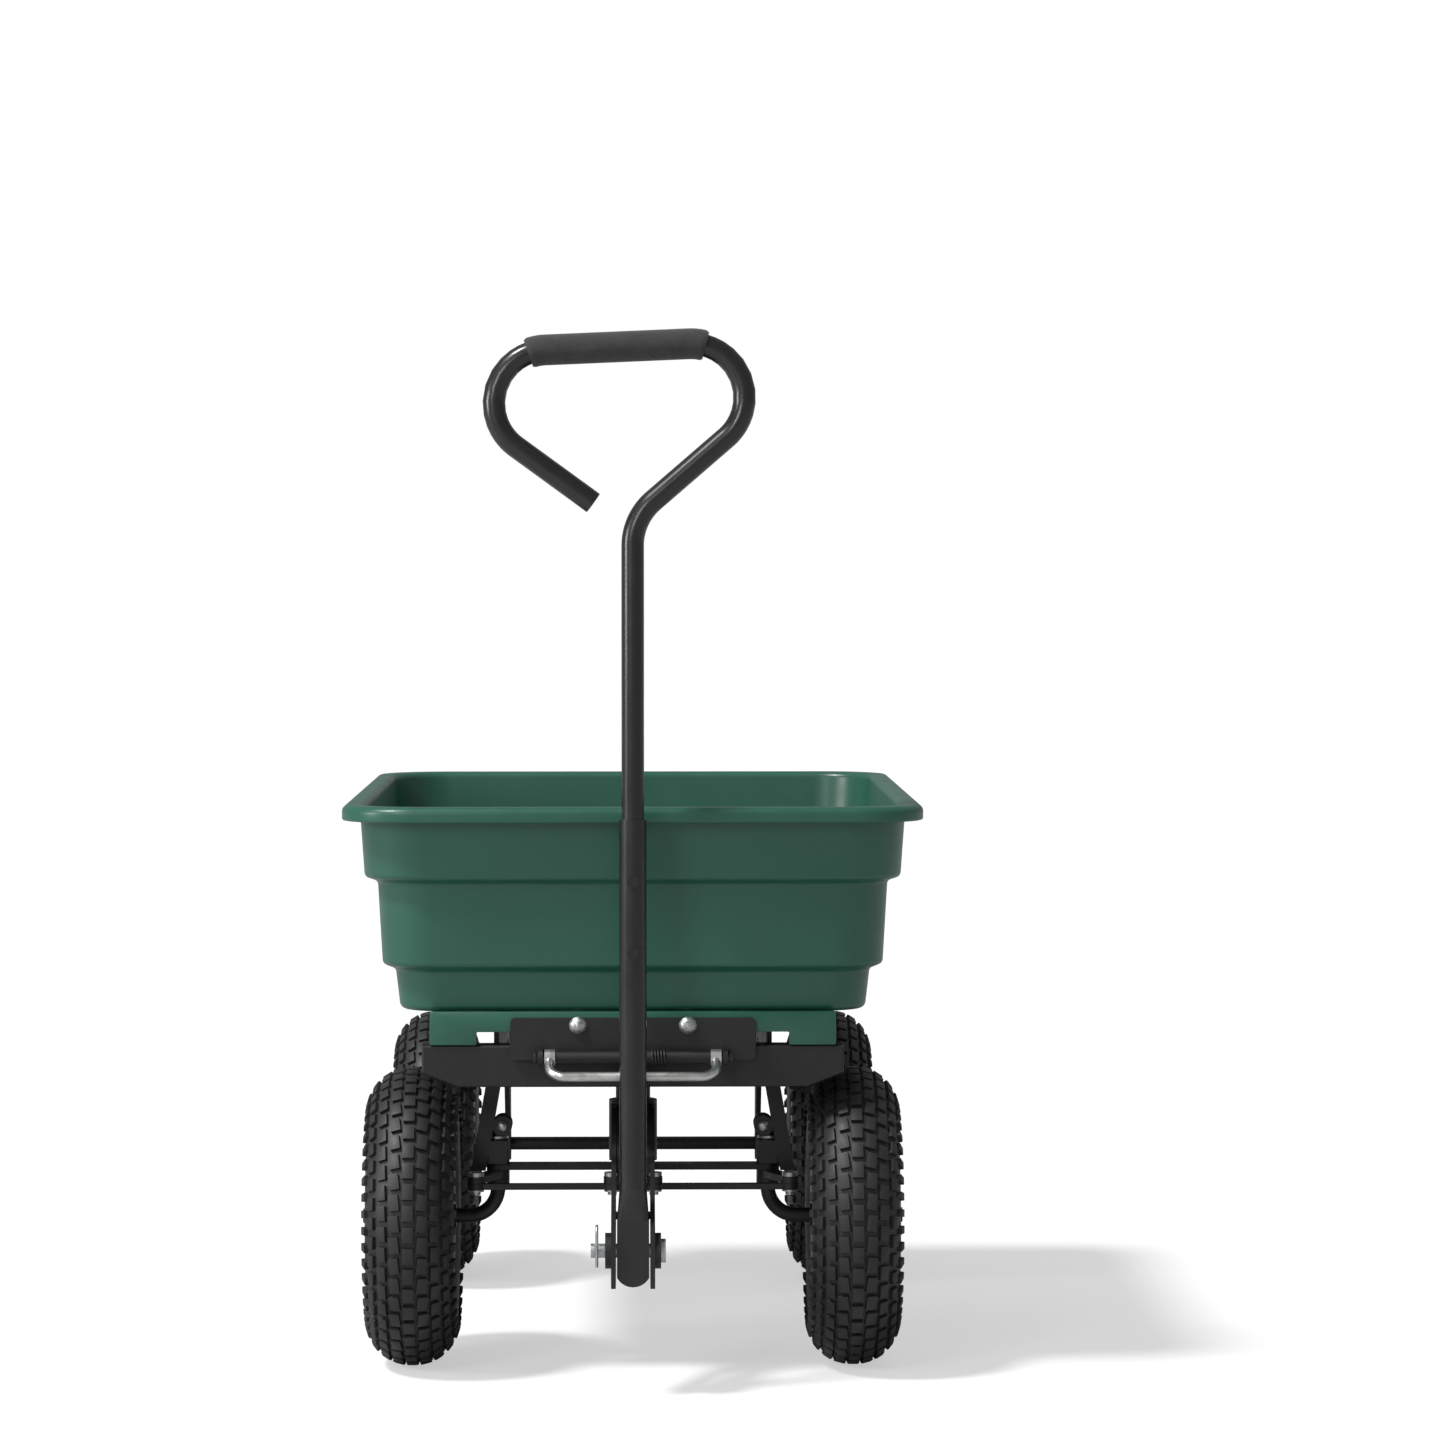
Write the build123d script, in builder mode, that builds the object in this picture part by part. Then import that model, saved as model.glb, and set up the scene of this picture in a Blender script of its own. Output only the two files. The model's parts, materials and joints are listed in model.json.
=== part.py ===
from build123d import *
import os
from math import asin, atan2, cos, degrees, radians, sin

# A four-wheeled dump cart: a tipping plastic tub on a bar frame, steered by a drawbar.
# X runs across the cart, Y from the drawbar to the tail, Z up. Millimetres and degrees.

# Overall layout
wheelbase = 540
wheel_track = 384
tyre_diameter = 260
tyre_width = 84
drawbar_forward = 182
drawbar_height = 124
eye_radius = 16

# Tub
tub_width = 500
tub_length = 715
tub_top = 494
tub_front = -130
tub_wall = 4
tub_corner = 62
lip_overhang = 15
lip_height = 13.5
band_draft = 4
ledge_depth = 11
band_levels = (481, 431.5, 427.5, 356, 351, 316)
skirt_thickness = 8
skirt_half_width = 174
skirt_bottom = 299.5
foot_inner = 134
runner_width = 12

# Frame
rail_offset = 117.5
rail_thickness = 4.5
rail_bottom = 262
rail_top = 302
rail_overrun = 10
member_front = -90
member_depth = 24
member_drop = 10
member_height = 36
member_end_rise = 12
member_half_width = 181
member_full_half = 150
rear_member_width = 24
rear_member_height = 32
sheet = 4
rear_member_forward = 75
plate_length = 44
plate_thickness = 5
tip_hinge_forward = 30
tip_hinge_height = 276
hinge_rod_diameter = 10
leg_thickness = 5
leg_bar = 20

# Steering
kingpin_offset = 118
rod_diameter = 12.7
tube_diameter = 20
tube_bottom = 171
tube_top = 198
spindle_bend = 25
strap_width = 20
strap_thickness = 5
brace_thickness = 5
brace_width = 13
brace_lean = 15
brace_bolt_rise = 12
brace_bolt_inset = 4
brace_bolt_radius = 2.5
boss_radius = 8.5
top_washer_radius = 9.5
cross_pin_length = 17
post_diameter = 30
bush_wall = 2
yoke_bottom = 182
yoke_top = 229
yoke_wall = 4
yoke_pad = 5
arm_across = 18
arm_forward = 46
arm_thickness = 6
arm_width = 15
tie_rod_thickness = 5
tie_rod_width = 9
link_pin_diameter = 8
stop_rise = 28
stop_size = 6
stop_gap = 2.1

# Drawbar handle
handle_lean = 2
lower_tube_diameter = 23
lower_tube_wall = 1.8
upper_tube_diameter = 19
upper_tube_wall = 1.6
sleeve_length = 362
tongue_width = 27
tongue_depth = 16
tongue_below_pin = 30
pivot_pin_diameter = 12
loop_start = 615
loop_right = (176.5, 767.5)
loop_left = (-202, 751)
loop_end = (-33, 628)
loop_bend = 45
neck_bend = 50
grip_diameter = 26
grip_wrap = 17

# Latch
bracket_half_width = 105
bracket_bottom = 276
bracket_top = 312
latch_pin_diameter = 6
latch_pin_forward = 9
latch_pin_height = 279
bail_half_width = 71
bail_rod = 8
bail_eye = 9
bail_drop = 14
bail_reach = 24
bracket_bolt_x = 47
bracket_bolt_radius = 4

# Wheels
hub_half_length = 34
hub_diameter = 34
bearing_diameter = 28.6
bearing_width = 9.5
rim_thickness = 2
rim_flange = 30.5
rim_seat_radius = 50
rim_bolt_circle = 27
rim_bolt_diameter = 8
rim_bolt_count = 4
tube_thickness = 2
tread_thickness = 10
air_half_height = 30
valve_offset = 15

# Clearances
running_fit = 0.05
face_gap = 0.3

# Derived places
tyre_radius = tyre_diameter / 2
rod_radius = rod_diameter / 2
front_reach = drawbar_forward + eye_radius
front_y = (front_reach - wheelbase - tyre_radius) / 2
rear_y = front_y + wheelbase
axle_z = tyre_radius
wheel_x = wheel_track / 2
pivot_y = front_y - drawbar_forward
tub_middle = front_y + tub_front + tub_length / 2
hinge_y = rear_y - tip_hinge_forward
rail_inner = rail_offset - rail_thickness / 2
rail_outer = rail_offset + rail_thickness / 2
leg_outer = rail_outer + leg_thickness
rail_end = hinge_y + 2 * rail_overrun
axle_end = wheel_x + hub_half_length + 10
member_y = front_y + member_front
member_bottom = rail_bottom - member_drop
member_top = member_bottom + member_height
member_end_bottom = member_bottom + member_end_rise
brace_bolt_height = tube_top + brace_bolt_rise
skirt_front = member_y - 2
bracket_front = skirt_front - sheet
bracket_bolt_height = skirt_bottom + 6
pin_y = bracket_front - latch_pin_forward
arm_level = tube_bottom - 1
tie_level = arm_level - arm_thickness - face_gap
sides = (("left", -1), ("right", 1))
rear_member_y = rear_y - rear_member_forward
leg_bolt_y = rear_member_y + 14
leg_bolt_levels = (rail_top - 16, rail_bottom + 8)
leg_bolt_radius = 3
countersink_depth = 2
strap_x = 85
strap_bolt_spots = [(side * (strap_x - 9), hinge_y + shift) for _, side in sides for shift in (-18, 10)]

os.makedirs("parts", exist_ok=True)


def save(piece, name):
    piece.part.label = name
    export_step(piece.part, "parts/" + name + ".step")


def across(x, y, z):
    # A plane whose normal runs along X.
    return Plane(origin=(x, y, z), x_dir=(0, 1, 0), z_dir=(1, 0, 0))


def endwise(x, y, z):
    # A plane facing the drawbar end, with X to the right and Z up.
    return Plane(origin=(x, y, z), x_dir=(1, 0, 0), z_dir=(0, -1, 0))


def disc(plane, radius, depth, bore=0):
    # A round pad, collar, washer or pin standing on a plane, inside the current part.
    with BuildSketch(plane) as profile:
        Circle(radius)
        if bore:
            Circle(bore, mode=Mode.SUBTRACT)
    extrude(profile.sketch, amount=depth)


def hexagon(plane, radius, depth, bore=0):
    # A bolt head or a nut.
    with BuildSketch(plane) as profile:
        RegularPolygon(radius, 6)
        if bore:
            Circle(bore, mode=Mode.SUBTRACT)
    extrude(profile.sketch, amount=depth)


def hole(plane, radius, depth):
    with BuildSketch(plane) as profile:
        Circle(radius)
    extrude(profile.sketch, amount=depth, both=True, mode=Mode.SUBTRACT)


# Tub: three drafted bands between ledges, hollowed to an even wall
def band_outline(level_index, inset, drop):
    # Half-width shrinks by the draft down each band and by the ledge between bands.
    ledges = level_index // 2
    drafts = (level_index + 1) // 2
    shrink = lip_overhang + ledges * ledge_depth + drafts * band_draft + inset
    return shrink, band_levels[level_index] + drop


def band_stack(inset, drop, mode):
    for index in range(len(band_levels) - 1):
        shrink_high, high = band_outline(index, inset, drop)
        shrink_low, low = band_outline(index + 1, inset, drop)
        sections = []
        for shrink, level in ((shrink_low, low), (shrink_high, high)):
            with BuildSketch(Plane((0, tub_middle, level))) as section:
                RectangleRounded(tub_width - 2 * shrink, tub_length - 2 * shrink, tub_corner - shrink / 2)
            sections.append(section.sketch)
        loft(sections, ruled=True, mode=mode)


def countersink(plane, radius, depth, mode):
    # A cone from twice the radius at the plane down to the radius, round the plane's axis.
    with BuildSketch(Plane(origin=plane.origin, x_dir=plane.z_dir, z_dir=plane.x_dir)) as half:
        with BuildLine():
            Polyline((0, 0), (0, 2 * radius), (-depth, radius), (-depth, 0), close=True)
        make_face()
    revolve(half.sketch, axis=Axis(plane.origin, plane.z_dir), mode=mode)


with BuildPart() as tub:
    lip_bottom = tub_top - lip_height
    band_stack(0, 0, Mode.ADD)
    with BuildSketch(Plane((0, tub_middle, lip_bottom))):
        RectangleRounded(tub_width, tub_length, tub_corner)
    extrude(amount=lip_height)
    fillet(tub.edges().group_by(Axis.Z)[-1], 3.5)
    with BuildSketch(Plane((0, tub_middle, lip_bottom))):
        lip_inset = 2 * tub_wall
        RectangleRounded(tub_width - lip_inset, tub_length - lip_inset, tub_corner - tub_wall)
        wall_inset = 2 * lip_overhang
        RectangleRounded(
            tub_width - wall_inset,
            tub_length - wall_inset,
            tub_corner - lip_overhang / 2,
            mode=Mode.SUBTRACT,
        )
    extrude(amount=lip_height - tub_wall, mode=Mode.SUBTRACT)
    band_stack(tub_wall, tub_wall, Mode.SUBTRACT)
    with BuildSketch(Plane((0, tub_middle, band_levels[0]))):
        mouth_inset = 2 * (lip_overhang + tub_wall)
        RectangleRounded(
            tub_width - mouth_inset,
            tub_length - mouth_inset,
            tub_corner - lip_overhang / 2 - tub_wall,
        )
    extrude(amount=2 * lip_height, mode=Mode.SUBTRACT)
    floor_level = band_levels[-1] + tub_wall / 2
    with BuildSketch(endwise(0, skirt_front, 0)):
        with BuildLine():
            Polyline(
                (-skirt_half_width, floor_level),
                (-skirt_half_width, member_top + face_gap),
                (-foot_inner, member_top + face_gap),
                (-foot_inner, skirt_bottom),
                (foot_inner, skirt_bottom),
                (foot_inner, member_top + face_gap),
                (skirt_half_width, member_top + face_gap),
                (skirt_half_width, floor_level),
                close=True,
            )
        make_face()
    extrude(amount=-skirt_thickness)
    with BuildSketch(Plane((0, 0, rail_top + face_gap))):
        runner_start = skirt_front + 30
        runner_length = hinge_y - 30 - runner_start
        with Locations(*[(side * rail_offset, runner_start + runner_length / 2) for _, side in sides]):
            Rectangle(runner_width, runner_length)
    extrude(amount=floor_level - rail_top - face_gap)
    for _, side in sides:
        hole(endwise(side * bracket_bolt_x, skirt_front, bracket_bolt_height), bracket_bolt_radius + 0.2, 12)
    for spot_x, spot_y in strap_bolt_spots:
        hole(Plane((spot_x, spot_y, band_levels[-1])), leg_bolt_radius + 0.2, 8)
        floor_face = Plane((spot_x, spot_y, band_levels[-1] + tub_wall))
        countersink(floor_face, leg_bolt_radius + 0.2, countersink_depth + 0.2, Mode.SUBTRACT)
save(tub, "tub")

# Frame rails, notched at the front to enter the cross member
with BuildPart() as side_rails:
    for _, side in sides:
        with BuildSketch(across(side * rail_offset - rail_thickness / 2, 0, 0)):
            with BuildLine():
                Polyline(
                    (member_y + sheet, rail_bottom),
                    (member_y + sheet, member_top - sheet),
                    (member_y + member_depth, member_top - sheet),
                    (member_y + member_depth, rail_top),
                    (rail_end, rail_top),
                    (rail_end, rail_bottom),
                    close=True,
                )
            make_face()
        extrude(amount=rail_thickness)
        hole(across(side * rail_offset, hinge_y, tip_hinge_height), hinge_rod_diameter / 2 + 0.1, 5)
        for level in leg_bolt_levels:
            hole(across(side * rail_offset, leg_bolt_y, level), leg_bolt_radius + 0.2, 5)
save(side_rails, "side_rails")


def member_outline(y, inset):
    with BuildSketch(endwise(0, y, 0)) as profile:
        with BuildLine():
            Polyline(
                (-member_half_width + inset, member_top - inset),
                (-member_half_width + inset, member_end_bottom + inset),
                (-member_full_half + inset / 2, member_bottom + inset),
                (member_full_half - inset / 2, member_bottom + inset),
                (member_half_width - inset, member_end_bottom + inset),
                (member_half_width - inset, member_top - inset),
                close=True,
            )
        make_face()
    return profile.sketch


with BuildPart() as front_cross_member:
    extrude(member_outline(member_y, 0), amount=-member_depth)
    fillet(front_cross_member.edges().group_by(Axis.Y)[0], 2)
    extrude(member_outline(member_y + sheet, sheet), amount=-member_depth, mode=Mode.SUBTRACT)
save(front_cross_member, "front_cross_member")

with BuildPart() as rear_cross_member:
    with BuildSketch(across(-rail_inner, rear_member_y, rail_bottom)):
        with BuildLine():
            Polyline(
                (0, 0),
                (0, rear_member_height),
                (-sheet, rear_member_height),
                (-sheet, sheet),
                (-rear_member_width, sheet),
                (-rear_member_width, 0),
                close=True,
            )
        make_face()
    extrude(amount=2 * rail_inner)
save(rear_cross_member, "rear_cross_member")

plate_bottom = rail_bottom - plate_thickness
with BuildPart() as steering_plate:
    with BuildSketch(Plane((0, front_y, plate_bottom))):
        RectangleRounded(2 * (rail_outer + 7), plate_length, 6)
        Circle(post_diameter / 2 + running_fit, mode=Mode.SUBTRACT)
    extrude(amount=plate_thickness)
save(steering_plate, "steering_plate")

# Steering post with a welded foot collar on the strap
strap_top = tube_bottom + strap_thickness
with BuildPart() as steering_post:
    post_plane = Plane((0, front_y, strap_top))
    disc(post_plane, post_diameter / 2, rail_bottom - strap_top, post_diameter / 2 - 3)
save(steering_post, "steering_post")

# Front axle: two kingpin tubes joined by a flat strap
with BuildPart() as front_axle:
    with BuildSketch(Plane((0, front_y, tube_bottom))):
        Rectangle(2 * kingpin_offset, strap_width)
    extrude(amount=strap_thickness)
    for _, side in sides:
        tube_plane = Plane((side * kingpin_offset, front_y, tube_bottom))
        disc(tube_plane, tube_diameter / 2, tube_top - tube_bottom)
    for _, side in sides:
        hole(Plane((side * kingpin_offset, front_y, tube_top)), rod_radius + running_fit, 40)
save(front_axle, "front_axle")

# Braces: a leaning strap with a round boss, in front of and behind each kingpin tube
brace_top_x = kingpin_offset + 2
brace_foot_x = brace_top_x + brace_lean
boss_x = kingpin_offset - brace_bolt_inset
with BuildPart() as front_braces:
    for _, side in sides:
        for end in (-1, 1):
            outer = front_y + end * (tube_diameter / 2 + brace_thickness)
            with BuildSketch(endwise(0, outer, 0)):
                with BuildLine():
                    half = brace_width / 2
                    Polyline(
                        (side * (brace_top_x - half), plate_bottom),
                        (side * (brace_top_x + half), plate_bottom),
                        (side * (brace_foot_x + half), tube_bottom),
                        (side * (brace_foot_x - half), tube_bottom),
                        close=True,
                    )
                make_face()
                with Locations((side * boss_x, brace_bolt_height)):
                    Circle(boss_radius)
                with Locations((side * kingpin_offset, tube_top - 11)):
                    Rectangle(16, 20)
                with Locations((side * boss_x, brace_bolt_height)):
                    Circle(brace_bolt_radius + 0.1, mode=Mode.SUBTRACT)
            extrude(amount=end * brace_thickness)
save(front_braces, "front_braces")

# Rear legs: pressed plates on the rails' outer faces, running down to the axle
with BuildPart() as rear_legs:
    for _, side in sides:
        leg_face = rail_outer if side > 0 else -leg_outer
        leg_top = rail_top - 8
        leg_back = hinge_y + 16
        leg_front = rear_member_y - 30
        with BuildSketch(across(leg_face, 0, 0)):
            with BuildLine():
                Polyline(
                    (leg_front, leg_top),
                    (leg_back, leg_top),
                    (rear_y + leg_bar / 2 + 4, axle_z),
                    (rear_y - leg_bar / 2 - 4, axle_z),
                    (leg_front, rail_bottom - 6),
                    close=True,
                )
            make_face()
            with Locations((rear_y, axle_z)):
                Circle(leg_bar / 2 + 6)
            with BuildLine():
                Polyline(
                    (leg_front + 34, rail_bottom - 8),
                    (leg_back - 20, rail_bottom - 8),
                    (rear_y - 10, axle_z + 42),
                    close=True,
                )
            make_face(mode=Mode.SUBTRACT)
            with Locations((rear_y, axle_z)):
                Circle(rod_radius + 0.1, mode=Mode.SUBTRACT)
            with Locations((hinge_y, tip_hinge_height)):
                Circle(hinge_rod_diameter / 2 + 0.1, mode=Mode.SUBTRACT)
            with Locations(*[(leg_bolt_y, level) for level in leg_bolt_levels]):
                Circle(leg_bolt_radius + 0.2, mode=Mode.SUBTRACT)
        extrude(amount=leg_thickness)
save(rear_legs, "rear_legs")

collar_inner = wheel_x - hub_half_length - face_gap - 3
wheel_face = wheel_x + hub_half_length + face_gap
with BuildPart() as rear_axle:
    disc(across(-axle_end, rear_y, axle_z), rod_radius, 2 * axle_end)
    for _, side in sides:
        disc(across(side * collar_inner, rear_y, axle_z), 10, side * 3)
        hole(Plane((side * (wheel_face + 5), rear_y, axle_z)), 1.7, 12)
save(rear_axle, "rear_axle")

with BuildPart() as tub_hinge_rod:
    rod_half = leg_outer + 9
    disc(across(-rod_half, hinge_y, tip_hinge_height), hinge_rod_diameter / 2, 2 * rod_half)
    for _, side in sides:
        hole(Plane((side * (leg_outer + 5.5), hinge_y, tip_hinge_height)), 1.7, 12)
save(tub_hinge_rod, "tub_hinge_rod")


def washer_and_pin(plane, bore_radius, pin_offset, pin_half):
    # A flat washer on the plane and a split pin across the rod beyond it.
    disc(plane, bore_radius + 5, 2, bore_radius + 0.2)
    pin_plane = Plane(plane.origin + plane.z_dir * pin_offset - Vector(0, 0, pin_half), z_dir=(0, 0, 1))
    disc(pin_plane, 1.5, 2 * pin_half)
    eye_centre = plane.origin + plane.z_dir * pin_offset + Vector(0, 0, pin_half + 2.5)
    eye_plane = Plane(eye_centre - plane.z_dir * 1.2, z_dir=plane.z_dir)
    disc(eye_plane, 4, 2.4, 1.6)


def outward(side, x, y, z):
    return Plane(origin=(side * x, y, z), x_dir=(0, 1, 0), z_dir=(side, 0, 0))


with BuildPart() as retaining_clips:
    for _, side in sides:
        washer_and_pin(outward(side, wheel_face, rear_y, axle_z), rod_radius, 5, 10)
        clip_face = outward(side, leg_outer + 0.1, hinge_y, tip_hinge_height)
        washer_and_pin(clip_face, hinge_rod_diameter / 2, 5.4, 8)
save(retaining_clips, "retaining_clips")


def behind(plane, distance):
    # The plane's reverse, set back by the distance.
    return Plane(origin=plane.origin - plane.z_dir * distance, x_dir=plane.x_dir, z_dir=-plane.z_dir)


def carriage_bolt(plane, radius, grip_length):
    # A domed head standing on the plane, its shank running back to a hexagon nut.
    head_radius = radius * 1.9
    dome_height = radius * 1.1
    dome_radius = (head_radius**2 + dome_height**2) / (2 * dome_height)
    dome_angle = asin(head_radius / dome_radius) / 2
    dome_middle = (1 + dome_height - dome_radius * (1 - cos(dome_angle)), dome_radius * sin(dome_angle))
    with BuildSketch(Plane(origin=plane.origin, x_dir=plane.z_dir, z_dir=plane.x_dir)) as half:
        with BuildLine():
            Line((0, 0), (0, head_radius))
            Line((0, head_radius), (1, head_radius))
            ThreePointArc((1, head_radius), dome_middle, (1 + dome_height, 0))
            Line((1 + dome_height, 0), (0, 0))
        make_face()
    revolve(half.sketch, axis=Axis(plane.origin, plane.z_dir))
    disc(behind(plane, 0), radius, grip_length + 7)
    hexagon(behind(plane, grip_length), radius * 1.75, 5)


with BuildPart() as frame_bolts:
    for _, side in sides:
        brace_face = front_y - tube_diameter / 2 - brace_thickness
        brace_span = tube_diameter + 2 * brace_thickness
        carriage_bolt(endwise(side * boss_x, brace_face, brace_bolt_height), brace_bolt_radius, brace_span)
        spacer_plane = endwise(side * boss_x, front_y + tube_diameter / 2, brace_bolt_height)
        disc(spacer_plane, brace_bolt_radius + 1, tube_diameter)
        for level in leg_bolt_levels:
            bolt_face = outward(side, leg_outer, leg_bolt_y, level)
            carriage_bolt(bolt_face, leg_bolt_radius, rail_thickness + leg_thickness)
save(frame_bolts, "frame_bolts")

# Tub hardware
with BuildPart() as hinge_straps:
    for _, side in sides:
        strap_level = band_levels[-1] - sheet
        with BuildSketch(across(side * strap_x - 2.5, hinge_y, 0)):
            with BuildLine():
                Polyline(
                    (-26, band_levels[-1]),
                    (18, band_levels[-1]),
                    (10, tip_hinge_height),
                    (-10, tip_hinge_height),
                    close=True,
                )
            make_face()
            with Locations((0, tip_hinge_height)):
                Circle(10)
                Circle(hinge_rod_diameter / 2 + running_fit, mode=Mode.SUBTRACT)
        extrude(amount=5)
        with BuildSketch(Plane((side * (strap_x - 4), hinge_y - 4, strap_level))):
            Rectangle(30, 44)
        extrude(amount=sheet)
    for spot_x, spot_y in strap_bolt_spots:
        hole(Plane((spot_x, spot_y, band_levels[-1])), leg_bolt_radius + 0.2, 8)
save(hinge_straps, "hinge_straps")

with BuildPart() as tub_bolts:
    for _, side in sides:
        bracket_face = endwise(side * bracket_bolt_x, bracket_front, bracket_bolt_height)
        carriage_bolt(bracket_face, bracket_bolt_radius, sheet + skirt_thickness)
    for spot_x, spot_y in strap_bolt_spots:
        flush_bolt = Plane((spot_x, spot_y, band_levels[-1] + tub_wall - 0.1))
        countersink(flush_bolt, leg_bolt_radius, countersink_depth, Mode.ADD)
        disc(behind(flush_bolt, 0), leg_bolt_radius, tub_wall + sheet + 7)
        hexagon(behind(flush_bolt, tub_wall + sheet - 0.1), leg_bolt_radius * 1.75, 5)
save(tub_bolts, "tub_bolts")

# Latch bracket: a plate hanging in front of the cross member, with two pin ears
ear_x = bail_half_width + 8
with BuildPart() as latch_bracket:
    with BuildSketch(endwise(0, skirt_front, (bracket_bottom + bracket_top) / 2)):
        RectangleRounded(2 * bracket_half_width, bracket_top - bracket_bottom, 4)
    extrude(amount=sheet)
    for _, side in sides:
        with BuildSketch(across(side * ear_x - 2, 0, latch_pin_height)):
            with Locations(((pin_y + bracket_front + 1) / 2, 0)):
                Rectangle(bracket_front + 1 - pin_y, 14)
            with Locations((pin_y, 0)):
                Circle(7)
                Circle(latch_pin_diameter / 2 + 0.1, mode=Mode.SUBTRACT)
        extrude(amount=4)
    for _, side in sides:
        bolt_axis = endwise(side * bracket_bolt_x, bracket_front, bracket_bolt_height)
        hole(bolt_axis, bracket_bolt_radius + 0.2, 8)
save(latch_bracket, "latch_bracket")

with BuildPart() as latch_pin:
    pin_half = ear_x + 4
    disc(across(-pin_half, pin_y, latch_pin_height), latch_pin_diameter / 2, 2 * pin_half)
    for _, side in sides:
        disc(outward(side, pin_half, pin_y, latch_pin_height), 5, 2)
save(latch_pin, "latch_pin")

with BuildPart() as release_bail:
    rail_low = latch_pin_height - bail_drop
    with BuildLine() as bail_path:
        FilletPolyline(
            (-bail_half_width, pin_y, latch_pin_height),
            (-bail_half_width, pin_y - bail_reach, rail_low),
            (bail_half_width, pin_y - bail_reach, rail_low),
            (bail_half_width, pin_y, latch_pin_height),
            radius=13,
        )
    with BuildSketch(Plane(bail_path.line @ 0, z_dir=bail_path.line % 0)):
        Circle(bail_rod / 2)
    sweep()
    for _, side in sides:
        eye_plane = across(side * bail_half_width - bail_eye / 2, pin_y, latch_pin_height)
        disc(eye_plane, 7, bail_eye)
        hole(eye_plane, latch_pin_diameter / 2 + running_fit, 12)
save(release_bail, "release_bail")

hook_half = 10
hook_front = member_y - face_gap - 1
with BuildPart() as latch_hook:
    sleeve_half = bail_half_width - bail_eye / 2
    disc(across(-sleeve_half, pin_y, latch_pin_height), 5.5, 2 * sleeve_half)
    with BuildSketch(across(-hook_half, 0, 0)):
        with BuildLine():
            Polyline(
                (pin_y - 5, latch_pin_height),
                (pin_y - 5, member_bottom - 12),
                (hook_front, member_bottom - 8),
                (hook_front, member_bottom - 3),
                (pin_y + 1, member_bottom - 3),
                (pin_y + 1, latch_pin_height - 3),
                close=True,
            )
        make_face()
    extrude(amount=2 * hook_half)
    hole(across(0, pin_y, latch_pin_height), latch_pin_diameter / 2 + running_fit, sleeve_half + 1)
save(latch_hook, "latch_hook")

with BuildPart() as latch_spring:
    spring_turns = 5
    spring_pitch = 2.6
    spring_x = hook_half + 6
    with BuildLine() as spring_path:
        spring_centre = (spring_x, pin_y, latch_pin_height)
        Helix(spring_pitch, spring_turns * spring_pitch, 6.6, center=spring_centre, direction=(1, 0, 0))
    with BuildSketch(Plane(spring_path.line @ 0, z_dir=spring_path.line % 0)):
        Circle(0.8)
    sweep(is_frenet=True)
save(latch_spring, "latch_spring")

# Steering yoke: a sleeve on the post carrying two cheek plates down to the drawbar pin
cheek_inner = tongue_width / 2 + 1
cheek_outer = cheek_inner + yoke_wall
bush_outer = post_diameter / 2 + running_fit + bush_wall
link_x = arm_across
link_y = front_y - arm_forward
with BuildPart() as steering_yoke:
    disc(Plane((0, front_y, yoke_bottom)), post_diameter / 2 + 6, yoke_top - yoke_bottom)
    for _, side in sides:
        with BuildSketch(across(side * (cheek_inner + yoke_wall / 2) - yoke_wall / 2, 0, 0)):
            with BuildLine():
                Polyline(
                    (front_y, yoke_top),
                    (front_y - 40, yoke_top),
                    (pivot_y - eye_radius, drawbar_height + 16),
                    (pivot_y - eye_radius, drawbar_height - tongue_below_pin),
                    (pivot_y + 20, drawbar_height - tongue_below_pin),
                    (front_y - 64, arm_level + 4),
                    (front_y - 34, yoke_bottom),
                    (front_y, yoke_bottom),
                    close=True,
                )
            make_face()
        extrude(amount=yoke_wall)
        disc(outward(side, cheek_outer, pivot_y, drawbar_height), eye_radius - 1, yoke_pad)
    # Top web between the cheeks, and a stop behind the handle
    with BuildSketch(across(-cheek_inner, 0, 0)):
        with BuildLine():
            Polyline(
                (front_y - 10, yoke_top),
                (front_y - 40, yoke_top),
                (front_y - 112, yoke_top - 43),
                (front_y - 112, yoke_top - 48),
                (front_y - 40, yoke_top - 5),
                (front_y - 10, yoke_top - 5),
                close=True,
            )
        make_face()
        stop_y = pivot_y + tongue_depth / 2 + stop_gap + stop_size / 2
        with Locations((stop_y, drawbar_height + stop_rise)):
            Rectangle(stop_size, stop_size)
    extrude(amount=2 * cheek_inner)
    # Lug for the two tie rods
    with BuildSketch(Plane((0, link_y, arm_level - arm_thickness))):
        SlotOverall(2 * link_x + arm_width, arm_width)
        with Locations((0, 10)):
            Rectangle(2 * cheek_outer, arm_width + 5)
    extrude(amount=arm_thickness)
    with BuildSketch(Plane((0, link_y, arm_level - arm_thickness))):
        with Locations(*[(side * (cheek_inner + yoke_wall / 2), 12) for _, side in sides]):
            Rectangle(yoke_wall, 9)
    extrude(amount=arm_thickness + 12)
    hole(Plane((0, front_y, yoke_top)), bush_outer, 60)
    hole(across(0, pivot_y, drawbar_height), pivot_pin_diameter / 2 + 0.1, 60)
    for _, side in sides:
        hole(Plane((side * link_x, link_y, arm_level)), link_pin_diameter / 2 + 0.1, 10)
save(steering_yoke, "steering_yoke")

with BuildPart() as steering_bushes:
    bush_bore = post_diameter / 2 + running_fit
    for level, direction in ((yoke_bottom, 1), (yoke_top, -1)):
        flange_plane = Plane((0, front_y, level), z_dir=(0, 0, -direction))
        barrel_plane = Plane((0, front_y, level), z_dir=(0, 0, direction))
        disc(flange_plane, post_diameter / 2 + 6, 3, bush_bore)
        disc(barrel_plane, bush_outer, 14, bush_bore)
save(steering_bushes, "steering_bushes")


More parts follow.
